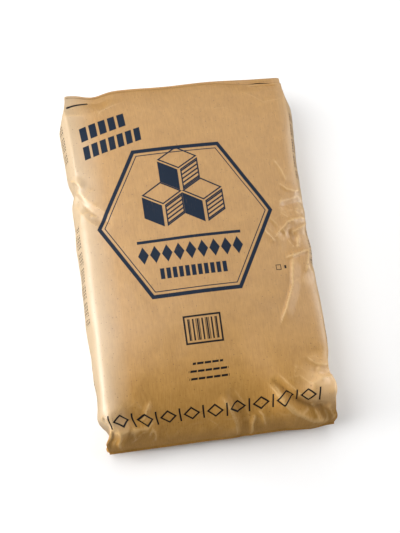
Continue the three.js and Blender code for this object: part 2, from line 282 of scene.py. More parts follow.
def left_ear(foot):
    """How far the left end of the foot stands out: a small tab, and a corner that is rounded off."""
    tab = LEFT_EAR_TAB * bell(foot - LEFT_EAR_TAB_PLACE, LEFT_EAR_TAB_WIDTH)
    return tab - LEFT_EAR_ROUND * (1 - roll(foot / LEFT_EAR_ROUND_SPAN))


def right_ear(foot):
    return RIGHT_EAR_OUT * (1 - ramp(foot, 0, RIGHT_EAR_SPAN))


def panel_shares(reach):
    """How far out a place lies on the front's half, on the gusset and on the back's half, from 0 to 1."""
    on_front = np.clip(reach / HALF_PANEL, 0, 1)
    on_gusset = np.clip((reach - HALF_PANEL) / GUSSET, 0, 1)
    on_back = np.clip((2 * HALF_PANEL + GUSSET - reach) / HALF_PANEL, 0, 1)
    return on_front, on_gusset, on_back


def front_heights(top, foot, across):
    """How high the front's creases lie, and how far the front is crowned above them."""
    crease_top = lerp(LIP_HEIGHT, FRONT_CREASE_HEIGHT, ramp(top, *CREASE_TOP))
    left_share = 1 - ramp(across, *LEFT_CORNER)
    right_share = ramp(across, *RIGHT_CORNER)
    roll_span = lerp(FOOT_ROLL_SPAN, FOOT_ROLL_SPAN_LEFT, left_share)
    roll_span = lerp(roll_span, FOOT_ROLL_SPAN_RIGHT, right_share)
    crown_span = lerp(FOOT_CROWN_SPAN, FOOT_CROWN_SPAN_RIGHT, right_share)
    crease = lerp(FOOT_HEIGHT, crease_top, roll(foot / roll_span))
    crown = CROWN * roll(top / CROWN_TOP) * ramp(foot / crown_span, 0, 1)
    return crease, crown


def back_crease_height(top, foot, body):
    """How high the back's creases lie: low along the body, and up to the lip and the foot's edge."""
    back_top = UNDER_LIP * (1 - roll(top / TOP_END_SPAN, TOP_END_POWER))
    back_foot = (FOOT_HEIGHT - FOOT_THICKNESS) * (1 - ramp(foot, 0, FOOT_LIFT_SPAN))
    return BACK_CREASE_HEIGHT * body + back_top + back_foot


def crease_softness(top, foot, x):
    """How far the creases are rounded off, in columns of the paper's grid."""
    soft_foot = ramp(foot, *SOFT_FOOT)
    soft_left = lerp(CRISP_CORNER, SOFT_CORNER, ramp(top, *SOFT_TOP_LEFT))
    soft_left = lerp(FOOT_CORNER_LEFT, soft_left, soft_foot)
    soft_right = lerp(CRISP_CORNER, SOFT_CORNER, ramp(top, *SOFT_TOP_RIGHT))
    soft_right = lerp(FOOT_CORNER_RIGHT, soft_right, soft_foot)
    return lerp(soft_left, soft_right, ramp(x, -HALF_PANEL, HALF_PANEL)) * COLUMNS / PERIMETER


def smooth_bag(from_top, across):
    """The filled bag with no wrinkles: a point for each row and column of the paper."""
    top = from_top[:, None]
    foot = LENGTH - top
    side = np.sign(across)[None, :]
    reach = np.abs(across)[None, :]
    body = ramp(top, 0, TOP_END_SPAN) * ramp(foot, 0, FOOT_LIFT_SPAN)
    waist = WAIST * ramp(top, *WAIST_TOP) * ramp(foot, *WAIST_FOOT)
    half_width = np.where(side < 0, left_half(top, foot), right_half(foot)) - waist
    crease, crown = front_heights(top, foot, np.clip(reach, 0, HALF_PANEL) * side)
    back_crease = back_crease_height(top, foot, body)
    fold_foot = np.where(side < 0, fold_in(foot, FOOT_FOLD_LEFT), fold_in(foot, FOOT_FOLD_RIGHT))
    fold = np.maximum(fold_in(top, TOP_FOLD), fold_foot)
    bulge = np.where(side < 0, side_bulge(LEFT_BUMPS, top), side_bulge(RIGHT_BUMPS, top))

    on_front, on_gusset, on_back = panel_shares(reach)
    gusset_out = bulge * 4 * on_gusset * (1 - on_gusset) - fold * (1 - np.abs(2 * on_gusset - 1))
    parts = [reach <= HALF_PANEL, reach < BACK_EDGE]
    x = np.select(parts, [half_width * on_front, half_width + gusset_out], half_width * on_back) * side
    front_z = crease + crown * (1 - on_front ** CROWN_POWER)
    back_z = back_crease - BACK_SAG * body * (1 - on_back ** BACK_POWER)
    z = np.select(parts, [front_z, lerp(crease, back_crease, on_gusset)], back_z)
    softness = crease_softness(top, foot, x)
    x = rounded(x, softness)
    z = rounded(z, softness)

    edge = np.clip(x, -HALF_PANEL, HALF_PANEL)
    shift = (top_edge(edge) - lip_reach(edge)) * (1 - ramp(top, *EDGE_SHIFT))
    y = np.broadcast_to(HALF_LENGTH - top, x.shape) + shift
    return np.stack([x, y, z], axis=2)


def rounded(values, spread):
    """A weighted mean of each point and its neighbours round the bag."""
    total = np.zeros_like(values)
    weights = np.zeros_like(values)
    reach = math.ceil(spread.max() * ROUNDED_REACH)
    for k in range(-reach, reach + 1):
        weight = np.exp(-((k / spread) ** 2) / 2)
        total += np.roll(values, -k, axis=1) * weight
        weights += weight
    return total / weights


def outward(points):
    """The direction square to the paper at each point of the grid."""
    round_bag = np.roll(points, -1, axis=1) - np.roll(points, 1, axis=1)
    up_bag = np.gradient(points, axis=0)
    square = np.cross(round_bag, up_bag)
    length = np.linalg.norm(square, axis=2, keepdims=True)
    return square / np.maximum(length, LEAST_LENGTH)


def unevenness(across, along):
    """Low, broad unevenness of a filled paper wall."""
    broad = np.sin(across / BROAD_TURN[0] + WAVE_START[0]) * np.cos(along / BROAD_TURN[1] - WAVE_START[1])
    slanted = np.sin(across / FINE_TURN[0] - along / FINE_TURN[1] + WAVE_START[2])
    fine = slanted * np.cos(along / FINE_CROSS_TURN[1] + across / FINE_CROSS_TURN[0])
    return BROAD_WAVE * broad + FINE_WAVE * fine


def nearest_on_line(line, across, along):
    """Distance to a line of several stretches, the side it is on, and the share of the line's length."""
    distance = np.full(across.shape, np.inf)
    share = np.zeros(across.shape)
    side = np.ones(across.shape)
    stretches = len(line) - 1
    for i, ((ax, ay), (bx, by)) in enumerate(zip(line, line[1:])):
        dx, dy = bx - ax, by - ay
        t = np.clip(((across - ax) * dx + (along - ay) * dy) / (dx * dx + dy * dy), 0, 1)
        off = np.hypot(across - ax - t * dx, along - ay - t * dy)
        nearer = off < distance
        distance = np.where(nearer, off, distance)
        share = np.where(nearer, (i + t) / stretches, share)
        side = np.where(nearer, np.sign(dx * (along - ay) - dy * (across - ax)), side)
    return distance, side, share


def fold_lift(fold, across, along):
    """The rise of one fold, which reaches less far on its steep side than on its gentle side."""
    line, height, left_reach, right_reach = fold
    distance, side, share = nearest_on_line(line, across, along)
    fade = ramp(share, 0, FOLD_FADE) * ramp(1 - share, 0, FOLD_FADE)
    reach = np.where(side >= 0, left_reach, right_reach)
    return height * fade * np.clip(1 - distance / reach, 0, 1) ** FOLD_POWER


# A fold fades over this share of its line at each end, and its sides rise by this power
FOLD_FADE = 0.25
FOLD_POWER = 1.15

# Big folds, which the solid has too: a line across (from the front's middle) and along (from the
# bag's middle), a height, and how wide the fold is to the left and right of the line's direction.
# The first two lie up to 8 mm nearer to the foot than in the solid, and all are crisper than there.
MAIN_FOLDS = [
    ([(0.080, -0.232), (0.101, -0.258), (0.119, -0.277), (0.144, -0.288), (0.196, -0.295)],
     -0.010, 0.014, 0.009),
    ([(0.082, -0.240), (0.103, -0.272), (0.123, -0.288), (0.147, -0.297), (0.182, -0.303)],
     0.008, 0.009, 0.022),
    ([(-0.200, -0.280), (-0.173, -0.281), (-0.152, -0.280), (-0.130, -0.278), (-0.106, -0.268)],
     0.005, 0.010, 0.022),
    ([(-0.114, -0.240), (-0.124, -0.255), (-0.128, -0.264), (-0.139, -0.271)], 0.0036, 0.008, 0.006),
    ([(0.158, -0.020), (0.149, -0.059), (0.144, -0.087), (0.127, -0.124), (0.108, -0.158)],
     0.0038, 0.016, 0.0045),
    ([(0.124, -0.008), (0.140, 0.008), (0.156, 0.022), (0.182, 0.030), (0.210, 0.026)],
     0.0042, 0.007, 0.016),
    ([(0.140, 0.050), (0.168, 0.056), (0.190, 0.062), (0.214, 0.060)], -0.0036, 0.008, 0.012),
    ([(-0.228, 0.120), (-0.200, 0.106), (-0.166, 0.072), (-0.140, 0.050)], -0.0045, 0.012, 0.016),
    ([(-0.002, -0.246), (0.012, -0.268), (0.021, -0.286), (0.026, -0.308)], 0.0055, 0.011, 0.038),
    ([(0.008, -0.242), (0.024, -0.266), (0.033, -0.284), (0.039, -0.308)], -0.0030, 0.012, 0.009),
]

# Small folds that show only in the finished paper
SMALL_FOLDS = [
    ([(0.172, 0.044), (0.188, 0.036), (0.206, 0.024)], 0.0026, 0.006, 0.012),
    ([(0.206, 0.026), (0.188, 0.016), (0.171, 0.009), (0.158, 0.004)], 0.0030, 0.010, 0.005),
    ([(0.156, 0.012), (0.160, -0.004), (0.170, -0.022)], -0.0030, 0.006, 0.008),
    ([(0.174, 0.004), (0.169, -0.010), (0.166, -0.026)], 0.0026, 0.006, 0.005),
    ([(0.138, -0.040), (0.158, -0.036), (0.176, -0.030), (0.196, -0.026)], 0.0032, 0.010, 0.005),
    ([(0.190, -0.022), (0.182, -0.044), (0.172, -0.070)], 0.0036, 0.012, 0.004),
    ([(0.106, 0.020), (0.118, 0.004), (0.130, -0.012)], 0.0022, 0.004, 0.009),
    ([(0.120, 0.032), (0.136, 0.012), (0.150, -0.004)], -0.0018, 0.006, 0.010),
    ([(0.150, 0.096), (0.166, 0.082), (0.184, 0.078), (0.206, 0.084)], 0.0022, 0.012, 0.005),
    ([(0.150, 0.140), (0.162, 0.118), (0.170, 0.092)], 0.0018, 0.014, 0.005),
    ([(0.146, -0.206), (0.160, -0.220), (0.176, -0.224), (0.196, -0.220)], 0.0036, 0.014, 0.005),
    ([(0.150, -0.230), (0.166, -0.236), (0.182, -0.237), (0.200, -0.230)], -0.0030, 0.007, 0.006),
    ([(0.142, -0.254), (0.158, -0.249), (0.176, -0.244), (0.200, -0.240)], 0.0034, 0.007, 0.016),
    ([(0.168, -0.222), (0.163, -0.236), (0.168, -0.252)], 0.0024, 0.010, 0.005),
    ([(0.186, -0.228), (0.190, -0.250), (0.184, -0.276)], 0.0034, 0.014, 0.010),
    ([(0.146, -0.281), (0.153, -0.289), (0.160, -0.301)], 0.0034, 0.005, 0.007),
    ([(0.162, -0.283), (0.165, -0.292), (0.168, -0.303)], -0.0030, 0.005, 0.005),
    ([(0.174, -0.284), (0.180, -0.292), (0.184, -0.303)], 0.0034, 0.008, 0.006),
    ([(-0.176, -0.274), (-0.172, -0.284), (-0.171, -0.294), (-0.166, -0.304)], 0.0040, 0.012, 0.005),
    ([(-0.186, -0.276), (-0.183, -0.287), (-0.184, -0.302)], -0.0026, 0.006, 0.005),
    ([(-0.156, -0.278), (-0.150, -0.288), (-0.142, -0.296)], 0.0024, 0.010, 0.008),
    ([(-0.122, -0.277), (-0.114, -0.287), (-0.108, -0.300)], 0.0026, 0.005, 0.012),
    ([(-0.210, -0.258), (-0.198, -0.268), (-0.184, -0.278)], -0.0040, 0.007, 0.008),
    ([(0.056, -0.280), (0.050, -0.292), (0.048, -0.306)], 0.0032, 0.005, 0.006),
    ([(0.060, -0.276), (0.068, -0.284), (0.072, -0.300)], 0.0018, 0.010, 0.005),
    ([(-0.178, 0.120), (-0.204, 0.142), (-0.232, 0.150)], 0.0028, 0.007, 0.014),
    ([(-0.150, 0.060), (-0.164, 0.070), (-0.180, 0.074)], 0.0022, 0.006, 0.012),
    ([(0.130, 0.298), (0.150, 0.299), (0.168, 0.299), (0.188, 0.298)], -0.0040, 0.003, 0.006),
]

# Crumpled places: across, along, half width across and along, and how deep the crumpling is
CRUMPLED = [
    (0.178, 0.000, 0.046, 0.085, 0.80),
    (0.165, -0.240, 0.050, 0.055, 0.85),
    (-0.170, -0.272, 0.060, 0.036, 0.80),
    (-0.200, 0.105, 0.040, 0.045, 0.70),
    (0.170, 0.262, 0.070, 0.036, 0.18),
    (-0.150, 0.270, 0.050, 0.024, 0.55),
    (0.230, -0.060, 0.050, 0.180, 0.30),
    (0.230, 0.150, 0.040, 0.120, 0.30),
    (-0.260, -0.080, 0.060, 0.220, 0.30),
    (0.040, -0.296, 0.190, 0.014, 0.35),
]
CRUMPLE_EVERYWHERE = 0.10
# A crumpled place fades out between these multiples of its half widths
CRUMPLE_FADE = (0.55, 1.35)
# Facets of two sizes: the space between their corners, the greatest height and the seed of the draw
FACETS = [(0.030, 0.0042, 11), (0.014, 0.0013, 12)]
# How far a facet's corner strays from its even place, as a share of the space between corners
STRAY = 0.45
# Corners of facets that lie this close are one
CORNERS_JOINED_WITHIN = 1e-5
# Round the bag the paper is free up to the first place and pressed flat past the second. In from an
# end it is held up to the first distance and free past the second.
FREE_ROUND = (BACK_EDGE - 0.050, BACK_EDGE - 0.010)
FREE_ENDS = (0.001, 0.016)


def crumple_share(across, along):
    """How crumpled the paper is: full in the handled corners, and slight on the flat front."""
    share = np.full(across.shape, CRUMPLE_EVERYWHERE)
    for middle_across, middle_along, wide, high, depth in CRUMPLED:
        distance = np.hypot((across - middle_across) / wide, (along - middle_along) / high)
        share = np.maximum(share, depth * (1 - ramp(distance, *CRUMPLE_FADE)))
    return share


def facets(across, along, spacing, height, seed):
    """Crumpled paper: heights drawn at scattered points and joined by flat triangles."""
    draw = random.Random(seed)
    points = []
    heights = []
    span = PERIMETER / 2 + spacing
    rows = math.ceil((LENGTH + 2 * spacing) / spacing)
    columns = math.ceil(2 * span / spacing)
    for row in range(rows):
        for column in range(columns):
            x = -span + (column + draw.uniform(-STRAY, STRAY) + (row % 2) / 2) * spacing
            y = -HALF_LENGTH - spacing / 2 + (row + draw.uniform(-STRAY, STRAY)) * spacing
            points.append(Vector((x, y)))
            heights.append(draw.uniform(-height, height))
    corners, _, triangles, origin, _, _ = delaunay_2d_cdt(points, [], [], 0, CORNERS_JOINED_WITHIN)
    heights = [heights[sources[0]] for sources in origin]
    lift = np.zeros((len(along), len(across)))
    for a, b, c in triangles:
        (ax, ay), (bx, by), (cx, cy) = corners[a], corners[b], corners[c]
        left, right = np.searchsorted(across, (min(ax, bx, cx), max(ax, bx, cx)))
        low, high = np.searchsorted(along, (min(ay, by, cy), max(ay, by, cy)))
        if left == right or low == high:
            continue
        x, y = np.meshgrid(across[left:right], along[low:high])
        area = (bx - ax) * (cy - ay) - (cx - ax) * (by - ay)
        share_b = ((x - ax) * (cy - ay) - (cx - ax) * (y - ay)) / area
        share_c = ((bx - ax) * (y - ay) - (x - ax) * (by - ay)) / area
        inside = (share_b >= 0) & (share_c >= 0) & (share_b + share_c <= 1)
        flat = heights[a] + (heights[b] - heights[a]) * share_b + (heights[c] - heights[a]) * share_c
        lift[low:high, left:right] = np.where(inside, flat, lift[low:high, left:right])
    return lift


def paper_free(across, along):
    """0 where the back lies on the floor or the paper is stuck down at an end, and 1 elsewhere."""
    off_back = 1 - ramp(np.abs(across), *FREE_ROUND)
    off_ends = ramp(HALF_LENGTH - np.abs(along), *FREE_ENDS)
    return off_back * off_ends


def row_places():
    """Distances of the rows from the top edge, from the foot upwards."""
    near_foot = np.arange(*CLOSE_FOOT_ROWS)
    near_top = np.arange(*CLOSE_TOP_ROWS)
    first = near_top[-1]
    last = LENGTH - near_foot[-1]
    count = round((last - first) / ROW_SPACING)
    middle = np.linspace(first, last, count + 1)[1:-1]
    return np.concatenate([LENGTH - near_foot, middle[::-1], near_top[::-1]])


# The lip's rows: each one's share of the way out, and its share of the lip's thickness
LIP_ROWS = [(0, 0.8), (0.08, 1), (0.16, 1), (0.5, 1), (0.85, 1), (0.97, 0.8), (1, 0)]


def gap_shade_share(points, across):
    """1 where the front lies under the folded strip, which is painted dark as shade. The painted shadow
    shows in the gap under its edge.
    """
    x, y = points[..., 0], points[..., 1]
    free_edge = HALF_LENGTH + top_edge(x) - STRIP_SHARE * lip_reach(x)
    shows = GAP_SHADE_SHOWS * bell(x - STRIP_LIFT_PLACE, STRIP_LIFT_WIDTH)
    under = np.clip((y - free_edge + shows) / GAP_SHADE_EDGE, 0, 1)
    return np.where(np.abs(across) <= HALF_PANEL, under, 0)


def lip_rows(across):
    """The flat lip's rows, from its root out to its edge, where front and back meet."""
    side = np.sign(across)
    reach = np.abs(across)
    on_front, on_gusset, on_back = panel_shares(reach)
    out = LIP_HALF_WIDTH + LIP_BULGE * 4 * on_gusset * (1 - on_gusset)
    parts = [reach <= HALF_PANEL, reach < BACK_EDGE]
    x = side * np.select(parts, [LIP_HALF_WIDTH * on_front, out], LIP_HALF_WIDTH * on_back)
    up = np.select(parts, [np.ones_like(x), 1 - 2 * on_gusset], -1)
    edge = np.clip(x, -HALF_PANEL, HALF_PANEL)
    middle = LIP_HEIGHT - LIP_THICKNESS / 2 - lip_drop(edge)
    rows = []
    for share_out, thickness in LIP_ROWS:
        y = HALF_LENGTH + top_edge(edge) - lip_reach(edge) * (1 - share_out)
        rows.append(np.stack([x, y, middle + up * thickness * LIP_THICKNESS / 2], axis=1))
    return np.stack(rows)


def foot_rows(last_row):
    """Rows that round off the bottom edge, from the closed tip up to the last row of the body."""
    opposite = (COLUMNS // 2 - np.arange(COLUMNS)) % COLUMNS
    closed = (last_row + last_row[opposite]) / 2
    rows = []
    for out, thickness in FOOT_EDGE:
        row = lerp(closed, last_row, thickness)
        row[:, 1] -= out
        rows.append(row)
    return np.stack(rows)


def paper_grid():
    """The whole skin as a grid of points, with the paper's own lengths across and along."""
    across = (np.arange(COLUMNS) / COLUMNS - 0.5) * PERIMETER
    from_top = row_places()
    body = smooth_bag(from_top, across)
    along = HALF_LENGTH - from_top
    wide, high = np.meshgrid(across, along)
    filled = ramp(from_top, *UNEVEN_TOP) * ramp(LENGTH - from_top, *UNEVEN_FOOT)
    lift = unevenness(wide, high) * filled[:, None]
    for fold in MAIN_FOLDS + SMALL_FOLDS:
        lift += fold_lift(fold, wide, high)
    crumpled = crumple_share(wide, high) * paper_free(wide, high)
    for spacing, height, seed in FACETS:
        lift += facets(across, along, spacing, height, seed) * crumpled
    body += outward(body) * lift[:, :, None]
    grid = np.concatenate([foot_rows(body[0]), body, lip_rows(across)])
    grid[:, :, 2] = np.maximum(grid[:, :, 2], 0)
    middle = grid[:, COLUMNS // 2]
    step = np.linalg.norm(np.diff(middle, axis=0), axis=1)
    paper_along = np.concatenate([[0], np.cumsum(step)])
    paper_along -= np.interp(0, middle[:, 1], paper_along)
    return grid, across, paper_along, ridge_wear_and_highlight(lift, len(grid)), gap_shade_share(grid, across)


def ridge_wear_and_highlight(lift, rows):
    """How light the paper is along its raised creases, from wear and painted highlight, from 0 to 1, for
    every row of the skin.
    """
    bend = np.zeros((rows, lift.shape[1]))
    foot = len(FOOT_EDGE)
    middle = bend[foot:foot + len(lift)]
    middle[1:-1] += 2 * lift[1:-1] - lift[2:] - lift[:-2]
    middle += 2 * lift - np.roll(lift, 1, axis=1) - np.roll(lift, -1, axis=1)
    return np.clip(bend / WEAR_AND_HIGHLIGHT_BEND, 0, 1)


def select_only(piece):
    """Makes this piece the only one that the next operator acts on."""
    bpy.ops.object.select_all(action="DESELECT")
    piece.select_set(True)
    bpy.context.view_layer.objects.active = piece


def edit_whole(piece, operator, **settings):
    """Runs one edit on all of a piece."""
    select_only(piece)
    bpy.ops.object.mode_set(mode="EDIT")
    bpy.ops.mesh.select_all(action="SELECT")
    operator(**settings)
    bpy.ops.object.mode_set(mode="OBJECT")


def make_sheet(name, points, across, along):
    """A grid of paper bent to the given points, with its own lengths across and along as UV map."""
    rows, columns = points.shape[:2]
    bpy.ops.object.select_all(action="DESELECT")
    bpy.ops.mesh.primitive_grid_add(x_subdivisions=columns - 1, y_subdivisions=rows - 1, size=1)
    sheet = bpy.context.object
    sheet.name = name
    mesh = sheet.data
    mesh.vertices.foreach_set("co", points.reshape(-1))
    corner = np.empty(len(mesh.loops), dtype=np.int64)
    mesh.loops.foreach_get("vertex_index", corner)
    paper = np.stack([across[corner % columns], along[corner // columns]], axis=1)
    mesh.uv_layers.active.data.foreach_set("uv", paper.reshape(-1))
    mesh.update()
    return sheet


def paint_points(sheet, name, shares):
    """A value for every point of a sheet, which the material reads by its name."""
    values = sheet.data.attributes.new(name, "FLOAT", "POINT")
    values.data.foreach_set("value", shares.reshape(-1))


def wrap_round(rows):
    """Rows of the skin with their first column again at their end, where the sheet meets itself."""
    return np.concatenate([rows, rows[:, :1]], axis=1)


def make_bag(points, across, paper_along, wear_and_highlight, gap_shade):
    """The paper sheet wrapped round the filled form and closed at its seam and ends."""
    bag = make_sheet("kraft_bag", wrap_round(points), np.append(across, PERIMETER / 2), paper_along)
    # Raised creases lighter, from wear and painted highlight
    paint_points(bag, "crease", wrap_round(wear_and_highlight))
    # The front under the strip, painted dark as the shadow in the gap under it
    paint_points(bag, "gap_shade", wrap_round(gap_shade))
    edit_whole(bag, bpy.ops.mesh.remove_doubles, threshold=JOINED_WITHIN)
    bpy.ops.object.shade_smooth()
    thin_back(bag)
    return bag


def thin_back(bag):
    """Leaves fewer triangles on the plain back, where no fold or print needs them."""
    mesh = bag.data
    paper = np.empty(len(mesh.loops) * 2)
    mesh.uv_layers.active.data.foreach_get("uv", paper)
    corner = np.empty(len(mesh.loops), dtype=np.int64)
    mesh.loops.foreach_get("vertex_index", corner)
    behind = corner[np.abs(paper.reshape(-1, 2)[:, 0]) > THINNED_FROM]
    group = bag.vertex_groups.new(name="behind")
    group.add([int(index) for index in np.unique(behind)], 1.0, "REPLACE")
    thinned = bag.modifiers.new("thinned", "DECIMATE")
    thinned.ratio = KEPT_TRIANGLES
    thinned.vertex_group = group.name
    bpy.ops.object.modifier_apply(modifier=thinned.name)


def strip_grid(across):
    """Rows of the folded strip, from its free edge on the front, over the lip's edge and behind it."""
    width = STRIP_SHARE * lip_reach(across)
    lift = STRIP_LIFT * bell(across - STRIP_LIFT_PLACE, STRIP_LIFT_WIDTH)
    edge = HALF_LENGTH + top_edge(across)
    middle = LIP_HEIGHT - LIP_THICKNESS / 2 - lip_drop(across)
    over = LIP_THICKNESS / 2 + STRIP_PAPER
    rows = []
    for inward, up, lifted in STRIP_ROWS:
        rows.append(np.stack([across, edge - inward * width, middle + up * over + lifted * lift], axis=1))
    return np.stack(rows)


def make_lip_strip(shift):
    """The strip that is folded over the lip, as a thin sheet with its own thickness."""
    across = np.linspace(-LIP_HALF_WIDTH, LIP_HALF_WIDTH, STRIP_COLUMNS)
    points = strip_grid(across) + np.array(shift)
    along = STRIP_ALONG + STRIP_ROW_SPACING * np.arange(len(STRIP_ROWS))
    lip_strip = make_sheet("lip_strip", points, across, along)
    unmarked = np.zeros(points.shape[:2])
    paint_points(lip_strip, "crease", unmarked)
    paint_points(lip_strip, "gap_shade", unmarked)
    select_only(lip_strip)
    thick = lip_strip.modifiers.new("thick", "SOLIDIFY")
    thick.thickness = STRIP_PAPER
    thick.offset = 0
    bpy.ops.object.modifier_apply(modifier=thick.name)
    edit_whole(lip_strip, bpy.ops.mesh.normals_make_consistent, inside=False)
    bpy.ops.object.shade_smooth()
    return lip_strip


def shift_to_frame(points):
    """How far the bag moves so that its box is centred over the origin, as the solid's box is."""
    low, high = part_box("bag")
    x = (low.x + high.x) / 2 - (points[..., 0].min() + points[..., 0].max()) / 2
    y = (low.y + high.y) / 2 - (points[..., 1].min() + points[..., 1].max()) / 2
    return x, y, 0


# Helpers for shader nodes

def feed(tree, socket, value):
    """Links an output to the socket, or sets the socket to a plain value."""
    if isinstance(value, bpy.types.NodeSocket):
        tree.links.new(value, socket)
    else:
        socket.default_value = value


def calc(tree, operation, *values, clamp=False):
    node = tree.nodes.new("ShaderNodeMath")
    node.operation = operation
    node.use_clamp = clamp
    for socket, value in zip(node.inputs, values):
        feed(tree, socket, value)
    return node.outputs[0]


def blend_colour(tree, share, under, over):
    node = tree.nodes.new("ShaderNodeMix")
    node.data_type = "RGBA"
    feed(tree, node.inputs["Factor"], share)
    feed(tree, node.inputs["A"], under)
    feed(tree, node.inputs["B"], over)
    return node.outputs["Result"]


def new_material(name):
    material = bpy.data.materials.new(name)
    material.use_nodes = True
    return material, material.node_tree, material.node_tree.nodes["Principled BSDF"]


def new_group(name, takes, gives):
    """A shader node group. takes and gives name its sockets and their kinds."""
    group = bpy.data.node_groups.new(name, "ShaderNodeTree")
    for label, kind in takes.items():
        group.interface.new_socket(label, in_out="INPUT", socket_type=kind)
    for label, kind in gives.items():
        group.interface.new_socket(label, in_out="OUTPUT", socket_type=kind)
    return group, group.nodes.new("NodeGroupInput").outputs, group.nodes.new("NodeGroupOutput").inputs


def use_group(tree, group, **values):
    node = tree.nodes.new("ShaderNodeGroup")
    node.node_tree = group
    for label, value in values.items():
        feed(tree, node.inputs[label], value)
    return node.outputs


def seen_from(tree, place, x, y, turn=0.0):
    """The coordinates of a place as seen from a point of the paper, along turned axes."""
    node = tree.nodes.new("ShaderNodeMapping")
    node.vector_type = "TEXTURE"
    feed(tree, node.inputs["Vector"], place)
    node.inputs["Location"].default_value = (x, y, 0)
    node.inputs["Rotation"].default_value = (0, 0, math.radians(turn))
    parts = tree.nodes.new("ShaderNodeSeparateXYZ")
    tree.links.new(node.outputs["Vector"], parts.inputs["Vector"])
    return parts.outputs["X"], parts.outputs["Y"]


# Shapes of the print. Each gives the distance to its edge, which is less than 0 inside the shape.

def either(tree, *shapes):
    joined = shapes[0]
    for shape in shapes[1:]:
        joined = calc(tree, "MINIMUM", joined, shape)
    return joined


def both(tree, *shapes):
    shared = shapes[0]
    for shape in shapes[1:]:
        shared = calc(tree, "MAXIMUM", shared, shape)
    return shared


def outline(tree, shape, stroke, inset=0.0):
    """A line along the edge of a shape, or along a smaller copy of the edge inside it."""
    return calc(tree, "SUBTRACT", calc(tree, "ABSOLUTE", calc(tree, "ADD", shape, inset)), stroke / 2)


def inner_line(tree, shape, stroke):
    """A line just inside the edge of a shape."""
    return outline(tree, shape, stroke, stroke / 2)


def strip(tree, x, wide):
    return calc(tree, "SUBTRACT", calc(tree, "ABSOLUTE", x), wide / 2)


def box(tree, x, y, wide, high):
    return both(tree, strip(tree, x, wide), strip(tree, y, high))


def stripes(tree, x, pitch, wide):
    """Strips that repeat along x."""
    return strip(tree, calc(tree, "WRAP", x, pitch / 2, -pitch / 2), wide)


def block_row(tree, place, middle, size, turn, slant, pitch, wide):
    """A row of slanted blocks that fills a box of the given middle and size."""
    x, y = seen_from(tree, place, *middle, turn)
    leaning = calc(tree, "MULTIPLY_ADD", y, -slant, x)
    inside = both(tree, strip(tree, leaning, size[0]), strip(tree, y, size[1]))
    return both(tree, inside, stripes(tree, leaning, pitch, wide))


def lozenges(tree, x, y, pitch, wide, high):
    """A row of lozenges along x."""
    near = calc(tree, "ABSOLUTE", calc(tree, "WRAP", x, pitch / 2, -pitch / 2))
    slope = high / wide
    rise = calc(tree, "MULTIPLY_ADD", near, slope, calc(tree, "ABSOLUTE", y))
    return calc(tree, "MULTIPLY", calc(tree, "SUBTRACT", rise, high / 2), 1 / math.hypot(1, slope))


# The slants of a hexagon and of a drawn cube's edges
COS_30 = math.cos(math.radians(30))
SIN_30 = 0.5


def hexagon(tree, x, y, half_high):
    """A regular hexagon with level top and bottom edges."""
    high = calc(tree, "ABSOLUTE", y)
    slanted = calc(tree, "MULTIPLY", calc(tree, "ABSOLUTE", x), COS_30)
    slanted = calc(tree, "MULTIPLY_ADD", high, SIN_30, slanted)
    return calc(tree, "SUBTRACT", calc(tree, "MAXIMUM", slanted, high), half_high)


# A drawn sugar cube: its edge, its lines, and the pitch of its hatching with the inked share
CUBE = 0.040
CUBE_LINE = 0.0024
HATCH = 0.0062
HATCH_SHARE = 0.42


def cube_group():
    """A drawn sugar cube, seen over its near corner: its top is open, one side solid and one hatched."""
    group, taken, given = new_group(
        "sugar_cube",
        {"X": "NodeSocketFloat", "Y": "NodeSocketFloat"},
        {"Shape": "NodeSocketFloat"},
    )
    x, y = taken["X"], taken["Y"]
    whole = hexagon(group, y, x, CUBE * COS_30)
    down = calc(group, "MULTIPLY", y, -COS_30)
    over_corner = calc(group, "MULTIPLY_ADD", calc(group, "ABSOLUTE", x), SIN_30, down)
    top = both(group, whole, over_corner)
    below_top = calc(group, "SUBTRACT", CUBE_LINE, over_corner)
    left = both(group, whole, below_top, calc(group, "ADD", x, CUBE_LINE))
    right = both(group, whole, below_top, calc(group, "SUBTRACT", CUBE_LINE, x))
    along_side = calc(group, "MULTIPLY_ADD", x, -SIN_30, calc(group, "MULTIPLY", y, COS_30))
    hatched = both(group, right, stripes(group, along_side, HATCH, HATCH * HATCH_SHARE))
    lines = either(group, inner_line(group, right, CUBE_LINE), inner_line(group, top, CUBE_LINE))
    feed(group, given["Shape"], either(group, left, hatched, lines))
    return group


# The badge: its middle and half height, and its two lines as stroke and distance inside its edge
BADGE = (-0.017, 0.046)
BADGE_HALF_HIGH = 0.130
BADGE_RIM = (0.0065, 0.003)
BADGE_INNER_RIM = (0.0016, 0.011)
# Two cubes stand this far over its middle, and the third stands on them, this many edges higher
CUBES_UP = 0.028
CUBE_STEP = 1.5
# Under the cubes a bar, a row of lozenges (pitch, width, height) and a row of blocks
BADGE_BAR_DOWN = 0.033
BADGE_BAR_SIZE = (0.176, 0.0050)
BADGE_LOZENGES_DOWN = 0.056
BADGE_LOZENGES_WIDE = 0.180
BADGE_LOZENGE = (0.020, 0.018, 0.030)
# Rows of blocks: middle, size, turn in degrees, lean, and the pitch and width of a block
BADGE_BLOCKS = ((BADGE[0], BADGE[1] - 0.090), (0.1122, 0.018), 0, 0, 0.0105, 0.0072)
UPPER_BLOCKS = ((-0.134, 0.226), (0.0805, 0.025), 14, 0.20, 0.0170, 0.0125)
LOWER_BLOCKS = ((-0.122, 0.194), (0.1022, 0.023), 13, 0.20, 0.0152, 0.0110)


